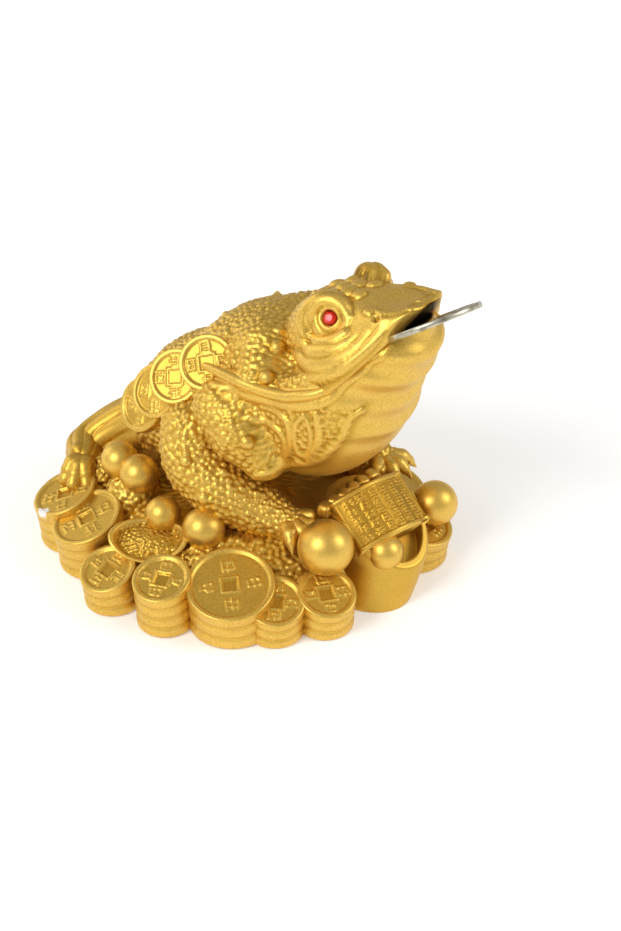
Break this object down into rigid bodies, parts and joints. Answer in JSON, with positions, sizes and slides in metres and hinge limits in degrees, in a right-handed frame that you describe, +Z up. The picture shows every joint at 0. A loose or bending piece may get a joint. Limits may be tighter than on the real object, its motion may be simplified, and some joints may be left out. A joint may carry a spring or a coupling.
{
  "type": "money toad figure",
  "caption": "Toad sitting on a round heap of coins, cast in resin and painted gold, with a loose coin in its mouth and red gem eyes.",
  "frame": {"origin": "centre of the heap's flat underside, on the surface it stands on", "axes": "+X the way the toad faces, +Y its left, +Z up"},
  "size_m": [0.0669, 0.056, 0.051],
  "materials": {
    "gold_paint": "satin metallic gold paint over cast resin, darker in the hollows",
    "coin_metal": "worn, silvery",
    "gem": "polished red, foil-backed"
  },
  "bodies": {
    "root": {"figure": "gold_paint", "mouth_coin": "coin_metal", "eye_gem_right": "gem", "eye_gem_left": "gem"}
  },
  "joints": []
}
